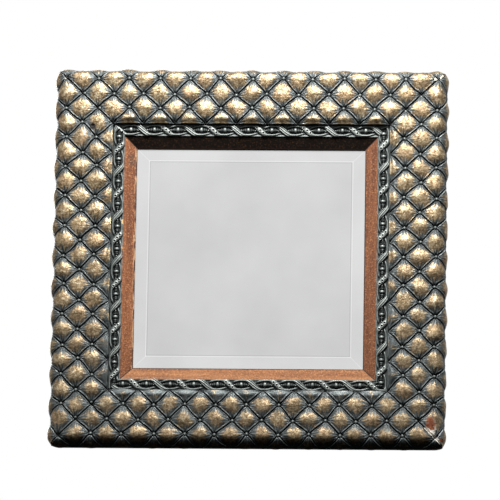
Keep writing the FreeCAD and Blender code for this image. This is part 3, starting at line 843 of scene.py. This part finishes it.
def joinTwo(thing, first, second):
    wanted = np.zeros(len(thing.data.vertices), dtype=bool)
    wanted[[first, second]] = True
    pick(thing)
    selectWhere(thing, wanted)
    bpy.ops.object.mode_set(mode="EDIT")
    bpy.ops.mesh.select_mode(type="VERT")
    bpy.ops.mesh.edge_face_add()
    bpy.ops.object.mode_set(mode="OBJECT")


def makeQuilting(sheet, side, angle, shift):
    relief = copyOf(sheet, "quilting_" + side)
    rolled, bulge = rollOver(readPlaces(relief), side, shift)
    writePlaces(relief, rolled)
    # no seam is drawn over the corner's bulge
    corners = readAll(relief.data.loops, "vertex_index", kind=np.int32)
    uv = readAll(relief.data.uv_layers.active.data, "uv", 2)
    uv = 0.5 + (uv - 0.5) * (1 - 0.75 * bulge[corners, None])
    relief.data.uv_layers.active.data.foreach_set("uv", uv.ravel())
    gaps = quilt["mitreGap"][side]
    bisectAway(relief, (0, 0, gaps[0]), (-1, 0, -1))
    bisectAway(relief, (0, 0, gaps[1]), (1, 0, -1))
    first = len(relief.data.loops)
    closeBack(relief, gaps)
    # the lip and the back take the tone between seam and crown
    uv = readAll(relief.data.uv_layers.active.data, "uv", 2)
    uv[first:] = quilt["lipTone"]
    relief.data.uv_layers.active.data.foreach_set("uv", uv.ravel())
    facesOutward(relief)
    turnToSide(relief, angle)
    finishPiece(relief, "quilting_" + side, finishes["quilt"], 55)
    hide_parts("quilted_facing_" + side)
    return relief


sheet = makeQuiltSheet()
print("quilt sheet:", len(sheet.data.polygons), "faces")
for order, (side, angle) in enumerate(sides.items()):
    relief = makeQuilting(sheet, side, angle, 3.7 * order)
    openEdges = int((edgeUses(relief) != 2).sum())
    print("quilting", side, len(relief.data.polygons), "faces, open edges", openEdges)
bpy.data.objects.remove(sheet, do_unlink=True)


# The buttons in the quilting

button = {
    "radius": 0.0029,
    "squash": 0.70,
    "sunk": 0.0008,         # centre below the seam's level
    "skirt": 0.0004,        # what is kept below the centre
    "tones": (0.18, 0.55),  # of the patina at the rim, and more on top
    "fromMitre": 0.0032,
    "rows": (10, 11, 12, 13),
}


def makeButton():
    bpy.ops.mesh.primitive_uv_sphere_add(segments=14, ring_count=8, radius=button["radius"])
    dome = bpy.context.object
    bisectAway(dome, (0, 0, -button["skirt"]), (0, 0, -1), fill=True)
    places = readPlaces(dome)
    places[:, 2] = places[:, 2] * button["squash"] - button["sunk"]
    writePlaces(dome, places)
    top = places[:, 2].max()
    bright = np.clip((places[:, 2] + button["sunk"]) / (top + button["sunk"]), 0, 1)
    low, more = button["tones"]
    giveLayer(dome, "rise", low + more * bright ** 5)
    return dome


def layOnRail(thing, along, reach, rise, turn=0.0):
    # from flat on the bench (x along, y outward, z up) to its place on the top rail
    lift = Matrix.Rotation(math.radians(90), 4, "X")
    tip = Matrix.Rotation(turn, 4, "X")
    thing.data.transform(Matrix.Translation((along, -rise, reach)) @ tip @ lift)


def makeButtons(dome, side, angle, shift):
    copies = []
    for row in button["rows"]:
        onSide = row > quilt["rollRow"]
        turn = math.pi / 2 if onSide else 0.0
        reach = quilt["sideReach"] if onSide else row * quilt["half"]
        rise = quilt["crestRise"] if onSide else quilt["faceRise"]
        for column in range(-row, row, 2):
            along = column * quilt["half"]
            if column == -row and row > 11:
                continue
            sideways, outward = drift(along, row * quilt["half"], shift)
            if column == -row:
                along = -reach + button["fromMitre"]
            twin = copyOf(dome, "button")
            layOnRail(twin, along + sideways, reach + outward * (not onSide),
                      rise - outward * onSide, -turn)
            copies.append(twin)
    pick(*copies)
    bpy.ops.object.join()
    joined = copies[0]
    turnToSide(joined, angle)
    finishPiece(joined, "tuft_buttons_" + side, finishes["strip"], 50)


dome = makeButton()
for order, (side, angle) in enumerate(sides.items()):
    makeButtons(dome, side, angle, 3.7 * order)
bpy.data.objects.remove(dome, do_unlink=True)
print("buttons laid")


# The ribbon strip, two turns of the ribbon made and repeated, and the beads in its eyes

ribbon = {
    "pitch": 35.3054,       # millimetres, as are all the sizes here
    "reach": 198.75,
    "inner": 190.0,
    "outer": 208.35,
    "base": 26.5,
    "seat": 22.9,
    "swing": 6.9,           # from the middle line to the top of an eye
    "lean": 12.8,           # half the length of a crossing
    "rim": 1.7,             # half widths
    "band": 4.9,
    "rimHigh": 2.3,
    "bandHigh": 3.2,
    "end": 34.0,            # each pass of the ribbon ends this far from its crossing
    "fold": 0.65,
    "foldWidth": 2.9,
    "widens": (13.0, 2.5),  # from a rim to the band, this near to the crossing
    "tapers": 7.0,
    "hole": 1.15,
    "holeSpacing": 4.9,
    "ring": (2.0, 0.55, 0.5),   # radius, width and height of the rim round a hole
    "holeDeep": 2.0,
    "eye": (13.5, 6.6),     # half its length and height
    "eyeDeep": 1.1,
    "channel": (8.2, 8.8),  # beside the quilting
    "channelDeep": 0.1,
    "fillet": 1.6,
    "filletHigh": 0.9,
    "units": 8,
    "cells": (144, 38),
    "shift": {"top": -40.0, "right": -17.5, "bottom": -26.2, "left": -24.1},
    "gap": {"top": (0.25, 0.1), "right": (0.1, 0.1), "bottom": (0.1, 0.1), "left": (0.1, 0.25)},
}


def ribbonHeight(s, t):
    r = ribbon
    ringRadius, ringWidth, ringHigh = r["ring"]
    eye = np.round(s / r["pitch"])
    s = s - eye * r["pitch"]
    # floor of the strip: sunk in the eyes and beside the quilting, a fillet beside the liner
    inEye = 1 - np.hypot(s / r["eye"][0], t / r["eye"][1])
    height = -r["eyeDeep"] * smooth(inEye, 0, 0.25)
    height -= r["channelDeep"] * smooth(t, *r["channel"])
    fillet = smooth(t - (r["inner"] - r["reach"]), r["fillet"] + 0.6, r["fillet"])
    height += r["filletHigh"] * fillet
    # the tone read as rise: partly patina rubbed back on the high edges, partly painted highlight
    # on crests and rims and painted shade in the eyes, the channel and the holes
    bright = 0.20 + 0.10 * height + 0.30 * fillet
    # passes of the ribbon, each from above one eye, over the crossing, to beneath the next
    for crossing in (-2, -1, 0, 1):
        u = s - (crossing + 0.5) * r["pitch"]
        away = np.abs(u)
        lean = np.clip(u / r["lean"], -1, 1) * math.pi / 2
        middle = -r["swing"] * np.sin(lean) * (1 - 0.42 * smooth(away, 19, r["end"]))
        slope = r["swing"] * math.pi / 2 / r["lean"] * np.cos(lean)
        off = (t - middle) / np.sqrt(1 + slope ** 2)
        band = smooth(away, *r["widens"])
        taper = smooth(away, r["end"], r["end"] - r["tapers"])
        wide = (r["rim"] + (r["band"] - r["rim"]) * band) * (0.35 + 0.65 * taper)
        body = np.sqrt(1 - np.clip(np.abs(off) / wide, 0, 1) ** 2)
        tall = (r["rimHigh"] + (r["bandHigh"] - r["rimHigh"]) * band) * taper
        pierced = (eye + crossing) % 2 == 1
        folds = np.where(pierced, 0, np.cos(2 * math.pi * off / r["foldWidth"])) * band * body
        rise = tall * body ** 0.7 + r["fold"] * folds - 0.3 * (body == 0)
        shade = (0.16 + (0.50 + 0.10 * band) * body ** 2 + 0.30 * folds) * (0.35 + 0.65 * taper)
        for step in (-1, 0, 1):
            centre = step * r["holeSpacing"]
            drop = -r["swing"] * math.sin(centre / r["lean"] * math.pi / 2)
            out = np.hypot(u - centre, t - drop)
            ring = np.where(pierced, np.exp(-((out - ringRadius) / ringWidth) ** 2), 0)
            hole = np.where(pierced, np.exp(-(out / r["hole"]) ** 4), 0)
            rise = rise + ringHigh * ring - r["holeDeep"] * hole
            # painted highlight on the rings, painted shade in the holes
            shade = shade + 0.35 * ring - 0.8 * hole
        above = (rise > height) & (body > 0)
        height = np.where(above, rise, height)
        bright = np.where(above, shade, bright)
    return height, np.clip(bright, 0, 1)


def makeRibbonUnit():
    pitch, across = ribbon["pitch"] / 1000, (ribbon["outer"] - ribbon["inner"]) / 1000
    columns, lines = ribbon["cells"]
    bpy.ops.mesh.primitive_grid_add(x_subdivisions=columns, y_subdivisions=lines, size=1,
                                    location=(0, 0, 0))
    unit = bpy.context.object
    places = readPlaces(unit)
    s = (places[:, 0] + 0.5) * 2 * pitch * 1000
    middle = (ribbon["inner"] + ribbon["outer"]) / 2
    reach = middle + places[:, 1] * across * 1000
    height, bright = ribbonHeight(s, reach - ribbon["reach"])
    writePlaces(unit, np.column_stack((s, reach, ribbon["base"] + height)) / 1000)
    giveLayer(unit, "rise", bright)
    unit.data.transform(Matrix.Translation((-ribbon["units"] * pitch, 0, 0)))
    repeatAlong(unit, ribbon["units"], (2 * pitch, 0, 0))
    mergeDoubles(unit)
    return unit


def makeRibbon(unit, side, angle):
    strip = copyOf(unit, "ribbon_" + side)
    places = readPlaces(strip)
    along = places[:, 0] + ribbon["shift"][side] / 1000
    writePlaces(strip, np.column_stack((along, -places[:, 2], places[:, 1])))
    gaps = [gap / 1000 for gap in ribbon["gap"][side]]
    bisectAway(strip, (0, 0, gaps[0]), (-1, 0, -1))
    bisectAway(strip, (0, 0, gaps[1]), (1, 0, -1))
    # the walls and the flat underside
    editEdges(strip, bpy.ops.mesh.extrude_edges_move, edgeUses(strip) < 2)
    chosen = readAll(strip.data.vertices, "select", kind=bool)
    places = readPlaces(strip)
    places[chosen, 1] = -ribbon["seat"] / 1000
    writePlaces(strip, places)
    bpy.ops.object.mode_set(mode="EDIT")
    bpy.ops.mesh.edge_face_add()
    bpy.ops.object.mode_set(mode="OBJECT")
    facesOutward(strip)
    turnToSide(strip, angle)
    finishPiece(strip, "ribbon_strip_" + side, finishes["strip"], 50)
    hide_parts("ribbon_moulding_" + side)
    return strip


bead = {                    # millimetres
    "halfLength": 9.2,
    "lift": 0.5,
    "ball": (3.5, 4.4),     # half length and radius
    "ribs": ((4.7, 1.2, 3.5), (6.8, 1.0, 2.8), (8.4, 0.8, 1.9)),  # place, half width, radius
    "stem": 1.9,
    "pearl": 1.0,
    "pearlAt": (10.4, 0.3, 0.45),   # along, aside, up
    # tones that paint a highlight on the beads' tops
    "tones": (0.08, 0.74),
}


def makeEyeBeads():
    parts = []
    rings = 34
    bpy.ops.mesh.primitive_uv_sphere_add(segments=16, ring_count=rings, radius=1.0)
    oval = bpy.context.object
    places = readPlaces(oval)
    length = 1 - 2 * np.arccos(np.clip(places[:, 2], -1, 1)) / math.pi
    x = length * bead["halfLength"]
    girth = bead["stem"] * np.sqrt(np.maximum(1 - length ** 2, 0))
    for middle, wide, high in ((0, *bead["ball"]), *bead["ribs"]):
        swell = np.maximum(1 - ((np.abs(x) - middle) / wide) ** 2, 0)
        girth = np.maximum(girth, high * np.sqrt(swell))
    girth[np.abs(length) > 0.999] = 0
    spread = np.maximum(np.hypot(places[:, 0], places[:, 1]), 1e-6)
    writePlaces(oval, np.column_stack((x, places[:, 1] / spread * girth,
                                       places[:, 0] / spread * girth)))
    # painted highlight: the bead lighter towards its top
    high = np.clip(readPlaces(oval)[:, 2] / bead["ball"][1], 0, 1)
    low, more = bead["tones"]
    giveLayer(oval, "rise", low + more * high ** 1.7)
    parts.append(oval)
    for way in (-1, 1):
        bpy.ops.mesh.primitive_uv_sphere_add(segments=10, ring_count=6, radius=bead["pearl"],
                                             location=(0, 0, 0))
        pearl = bpy.context.object
        # painted highlight: the pearls lighter towards their tops too
        giveLayer(pearl, "rise", np.clip(readPlaces(pearl)[:, 2] / bead["pearl"], 0, 1))
        at, aside, up = bead["pearlAt"]
        pearl.data.transform(Matrix.Translation((way * at, -way * aside, up)))
        parts.append(pearl)
    pick(*parts)
    bpy.ops.object.join()
    whole = parts[0]
    whole.data.transform(Matrix.Scale(0.001, 4) @ Matrix.Translation((0, 0, bead["lift"])))
    facesOutward(whole)
    return whole


def makeBeads(eyeBeads, side, angle):
    copies = []
    for index in range(-8, 9):
        along = (index * ribbon["pitch"] + ribbon["shift"][side]) / 1000
        if abs(along) * 1000 > ribbon["reach"] + bead["halfLength"] / 2:
            continue
        twin = copyOf(eyeBeads, "beads")
        layOnRail(twin, along, ribbon["reach"] / 1000, ribbon["base"] / 1000)
        copies.append(twin)
    pick(*copies)
    bpy.ops.object.join()
    beads = copies[0]
    first, last = (gap / 1000 for gap in ribbon["gap"][side])
    bisectAway(beads, (0, 0, first), (-1, 0, -1), fill=True)
    bisectAway(beads, (0, 0, last), (1, 0, -1), fill=True)
    turnToSide(beads, angle)
    finishPiece(beads, "ribbon_beads_" + side, finishes["strip"], 60)


unit = makeRibbonUnit()
eyeBeads = makeEyeBeads()
for side, angle in sides.items():
    strip = makeRibbon(unit, side, angle)
    makeBeads(eyeBeads, side, angle)
    openEdges = int((edgeUses(strip) != 2).sum())
    print("ribbon", side, len(strip.data.polygons), "faces, open edges", openEdges)
for spare in (unit, eyeBeads):
    bpy.data.objects.remove(spare, do_unlink=True)


# The camera and the light

viewpoint = {"lens": 578.2, "turn": 2.0, "rise": -17.0, "roll": 0.95, "distance": 12.0,
             "aim": (0.0008, -0.0330, 0.0097)}


def setCamera():
    turn, rise, roll = (math.radians(viewpoint[k]) for k in ("turn", "rise", "roll"))
    back = Vector((math.sin(turn) * math.cos(rise), -math.cos(turn) * math.cos(rise),
                   math.sin(rise)))
    right = Vector((math.cos(turn), math.sin(turn), 0))
    up = back.cross(right)
    across = right * math.cos(roll) + up * math.sin(roll)
    upward = up * math.cos(roll) - right * math.sin(roll)
    data = bpy.data.cameras.new("camera")
    data.lens = viewpoint["lens"]
    data.sensor_width = 36.0
    camera = bpy.data.objects.new("camera", data)
    bpy.context.collection.objects.link(camera)
    place = Vector(viewpoint["aim"]) + back * viewpoint["distance"]
    turned = Matrix((across, upward, back)).transposed().to_4x4()
    camera.matrix_world = Matrix.Translation(place) @ turned
    bpy.context.scene.camera = camera


studio = {
    # what the room throws on the object, and what its gloss and the glass mirror,
    # both from straight below (0) over the horizon (0.5) to straight above (1)
    "glow": [(0.0, "#0E0F10"), (0.45, "#26282B"), (0.60, "#525457"), (0.85, "#A6A8AA")],
    "wall": [(0.0, "#08090A"), (0.42, "#17181A"), (0.51, "#B4B4B4"), (0.540, "#FBFBFB"),
             (0.585, "#F6F6F6"), (0.646, "#E9E9E9"), (0.755, "#F1F1F1"), (0.88, "#9A9B9C")],
    "backdrop": "#FFFFFF",
    "sideGain": 0.11,       # the wall is brighter to either side, so that the bevels show
    "lamps": [("key", (0.10, -0.85, 1.32), 0.4, 58.0),      # name, place, size, watts
              ("fill", (-1.8, -1.7, 0.9), 1.2, 4.0),
              ("back", (-0.9, 2.6, 1.3), 1.6, 90.0)],
    "floorLevel": -4.2,
    "floorSize": 30,
    "floorTones": ("#E4E4E2", "#E9E9E7"),
    "floorGlow": 0.42,
}


def setLight():
    world = bpy.data.worlds.new("studio")
    bpy.context.scene.world = world
    world.use_nodes = True
    tree = world.node_tree
    tree.nodes.clear()
    direction = add(tree, "TexCoord", {}).outputs["Generated"]
    split = add(tree, "SeparateXYZ", {0: direction})
    spread = add(tree, "MapRange", {"Value": split.outputs[2], "From Min": -1.0})
    glow = add(tree, "ValToRGB", {0: spread}, ramp=studio["glow"])
    wall = add(tree, "ValToRGB", {0: spread}, ramp=studio["wall"])
    sideways = add(tree, "Math", {0: split.outputs[0]}, operation="ABSOLUTE")
    gain = weighted(tree, 1.0, (risen(tree, studio["sideGain"], (sideways, 0.06, 0.13)), 1.0))
    wall = add(tree, "VectorMath", {0: wall, "Scale": gain}, operation="SCALE")
    path = add(tree, "LightPath", {})
    shown = wash(tree, glow, wall, path.outputs["Is Glossy Ray"])
    shown = wash(tree, shown, studio["backdrop"], path.outputs["Is Camera Ray"])
    ground = add(tree, "Background", {"Color": shown, "Strength": 1.0})
    add(tree, "OutputWorld", {"Surface": ground})
    for name, place, size, power in studio["lamps"]:
        data = bpy.data.lights.new(name, "AREA")
        data.energy = power
        data.size = size
        lamp = bpy.data.objects.new(name, data)
        lamp.location = place
        lamp.rotation_euler = (-Vector(place)).to_track_quat("-Z", "Y").to_euler()
        bpy.context.collection.objects.link(lamp)
    bpy.ops.mesh.primitive_plane_add(size=studio["floorSize"],
                                     location=(0, 0, studio["floorLevel"]))
    floor = bpy.context.object
    floor.name = "studio_floor"
    material, tree = startMaterial("paleFloor")
    place = add(tree, "TexCoord", {}).outputs["Object"]
    drifts = add(tree, "TexNoise", {"Vector": place, "Scale": 3.0})
    tone = add(tree, "ValToRGB", {0: drifts}, ramp=[
        (0.3, studio["floorTones"][0]), (0.7, studio["floorTones"][1])])
    endMaterial(tree, tone, 0.9, Emission_Color=tone, Emission_Strength=studio["floorGlow"])
    floor.data.materials.append(material)
    floor.visible_glossy = floor.visible_diffuse = False


setCamera()
setLight()
bpy.context.scene.view_settings.view_transform = "Standard"


# Finishes for the pieces that stay as the CAD made them

def dress(node, finish):
    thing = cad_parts[node]
    thing.data.materials.clear()
    thing.data.materials.append(finishes[finish])


for side in sides:
    lie = "Across" if side in ("top", "bottom") else "Upright"
    dress("rail_core_" + side, "core" + lie)
    # the top liner takes the painted shade, the bottom one the painted light
    dress("sight_liner_" + side, "linerTop" if side == "top" else "liner" + lie)
for node, finish in (("mirror_plate", "mirror"), ("backing_board", "board"),
                     ("glazing_points", "steel"), ("hanger_straps", "zinc"),
                     ("hanger_screws", "zinc"), ("hanger_ring_left", "zinc"),
                     ("hanger_ring_right", "zinc")):
    dress(node, finish)
for corner in ("top_right", "bottom_right", "bottom_left", "top_left"):
    dress("corner_nails_" + corner, "steel")
